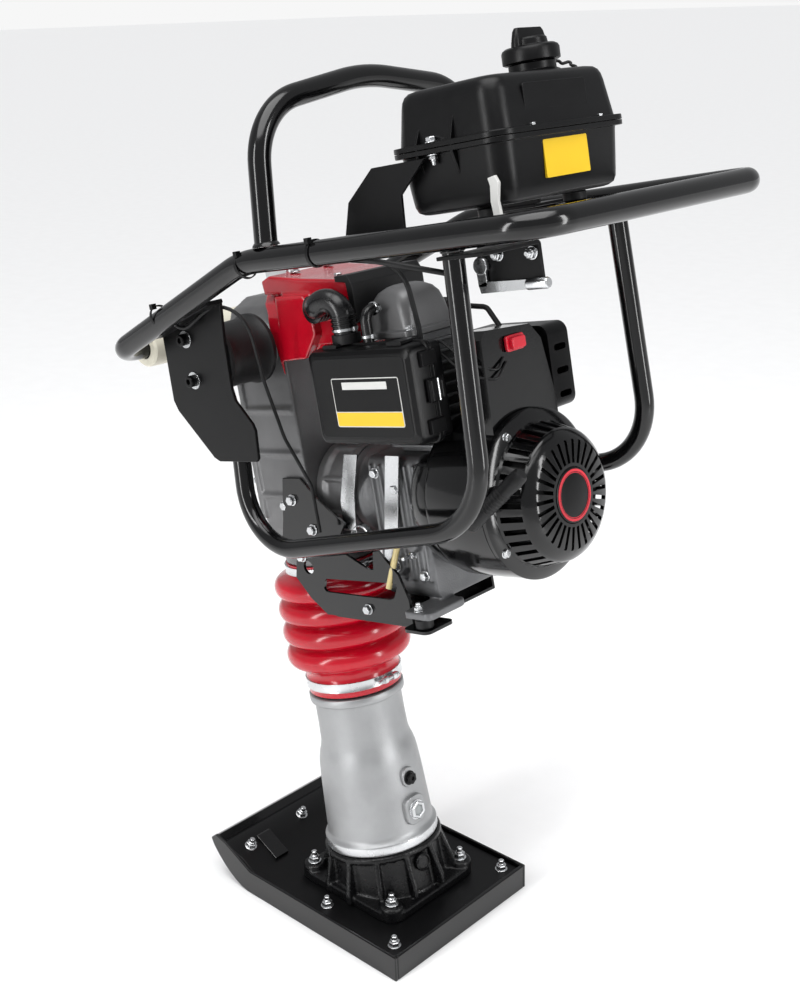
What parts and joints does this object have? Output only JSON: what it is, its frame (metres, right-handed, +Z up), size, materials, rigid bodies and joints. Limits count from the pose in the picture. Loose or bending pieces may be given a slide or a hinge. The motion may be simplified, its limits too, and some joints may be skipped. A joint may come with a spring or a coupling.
{
  "type": "jumping jack rammer",
  "caption": "Jumping jack tamping rammer: sprung foot with a red bellows, raked leg, petrol engine, tube handle and fuel tank.",
  "frame": {"origin": "centre of the sole's width on the ground face of the shoe, below the middle of the flat sole", "axes": "+X towards the toe (machine's forwards), +Y to the machine's left, +Z up"},
  "size_m": [0.7456, 0.4404, 1.2293],
  "materials": {
    "black_paint": "gloss",
    "black_plastic": "satin",
    "cast_aluminium": "cast, satin",
    "steel": "satin",
    "red_rubber": "gloss",
    "red_paint": "gloss",
    "red_plastic": "gloss",
    "black_rubber": "matte",
    "filter_foam": "open foam",
    "hot_steel": "heat dulled",
    "nylon": "satin"
  },
  "bodies": {
    "foot": {"shoe_pan": "black_paint", "shoe_core": "black_plastic", "foot_casting": "black_paint", "spring_cylinder": "cast_aluminium", "sight_glass": "cast_aluminium", "vent_plug": "black_paint", "lower_band_clamp": "steel", "lower_spring": "steel", "bellows": "red_rubber"},
    "upper_unit": {"upper_band_clamp": "steel", "guide_cylinder": "steel", "upper_spring": "steel", "crankcase": "cast_aluminium", "front_cover": "cast_aluminium", "intake_housing": "red_paint", "clutch_housing": "cast_aluminium", "engine_base": "cast_aluminium", "engine_cylinder": "cast_aluminium", "valve_cover": "cast_aluminium", "fan_housing": "black_paint", "recoil_cover": "black_paint", "air_cleaner_base": "black_plastic", "air_cleaner_cover": "black_plastic", "filter_element": "filter_foam", "carburettor": "cast_aluminium", "intake_hose": "black_rubber", "muffler": "hot_steel", "muffler_guard": "black_paint", "plug_cap": "black_rubber", "breather_hose": "black_rubber", "belly_guard": "black_paint", "engine_foot_rubber_left": "black_rubber", "curved_guard": "black_paint", "handle_loop": "black_paint", "lower_loop_left": "black_paint", "lower_loop_right": "black_paint", "guard_hoop": "black_paint", "side_plate_left": "black_paint", "side_plate_right": "black_paint", "front_damper_left": "black_rubber", "front_damper_right": "black_rubber", "tank_support": "black_paint", "tank_lower": "black_plastic", "tank_upper": "black_plastic", "filler_neck": "black_plastic", "tank_bracket_left": "black_paint", "tank_bracket_right": "black_paint", "throttle_bracket": "black_paint", "throttle_cable": "black_rubber"},
    "crank": {"crank_gear": "steel"},
    "con_rod": {"connecting_rod": "steel"},
    "piston": {"piston_rod": "steel"},
    "clutch": {"clutch_drum": "steel"},
    "engine_shaft": {"flywheel": "steel"},
    "starter_grip": {"recoil_grip": "black_rubber"},
    "throttle": {"throttle_lever": "steel"},
    "roller": {"front_roller": "nylon"},
    "cap": {"fuel_cap": "black_plastic"},
    "switch": {"stop_switch": "red_plastic"}
  },
  "joints": [
    {"name": "leg_stroke", "type": "slide", "parent": "foot", "child": "upper_unit", "axis": [0.1788, 0, 0.9839], "range_m": [-0.03, 0.03], "stiffness_N_per_m": 40000, "springref_m": 0.0202, "deforming": ["bellows", "lower_spring", "upper_spring"]},
    {"name": "crank_spin", "type": "hinge", "parent": "upper_unit", "child": "crank", "pos_m": [0.11879, 0, 0.71037], "axis": [0.9839, 0, -0.1788], "continuous": true},
    {"name": "con_rod_pivot", "type": "hinge", "parent": "crank", "child": "con_rod", "pos_m": [0.11397, 0, 0.6838], "axis": [0.9839, 0, -0.1788], "continuous": true},
    {"name": "piston_slide", "type": "slide", "parent": "upper_unit", "child": "piston", "axis": [0.1788, 0, 0.9839], "range_m": [0, 0.054]},
    {"name": "clutch_spin", "type": "hinge", "parent": "upper_unit", "child": "clutch", "pos_m": [0.0061, 0, 0.64954], "axis": [0.9839, 0, -0.1788], "continuous": true},
    {"name": "engine_spin", "type": "hinge", "parent": "upper_unit", "child": "engine_shaft", "pos_m": [-0.19068, 0, 0.6853], "axis": [0.9839, 0, -0.1788], "continuous": true},
    {"name": "starter_pull", "type": "slide", "parent": "upper_unit", "child": "starter_grip", "axis": [-0.9839, 0, 0.1788], "range_m": [0, 0.45], "stiffness_N_per_m": 25, "springref_m": -0.4},
    {"name": "throttle_turn", "type": "hinge", "parent": "upper_unit", "child": "throttle", "pos_m": [-0.29893, 0.125, 0.99566], "axis": [0, -1, 0], "range_deg": [0, 45]},
    {"name": "roller_spin", "type": "hinge", "parent": "upper_unit", "child": "roller", "pos_m": [0.26708, 0, 0.83283], "axis": [0, 1, 0], "continuous": true},
    {"name": "cap_turn", "type": "hinge", "parent": "upper_unit", "child": "cap", "pos_m": [-0.22757, -0.05, 1.19816], "axis": [0.1788, 0, 0.9839], "range_deg": [0, 90]},
    {"name": "switch_turn", "type": "hinge", "parent": "upper_unit", "child": "switch", "pos_m": [-0.24633, 0.001, 0.88243], "axis": [0.9839, 0, -0.1788], "range_deg": [0, 60]}
  ],
  "couplings": [
    {"joint": "clutch_spin", "follows": "crank_spin", "ratio": -5.6667},
    {"joint": "con_rod_pivot", "follows": "crank_spin", "ratio": -1}
  ]
}
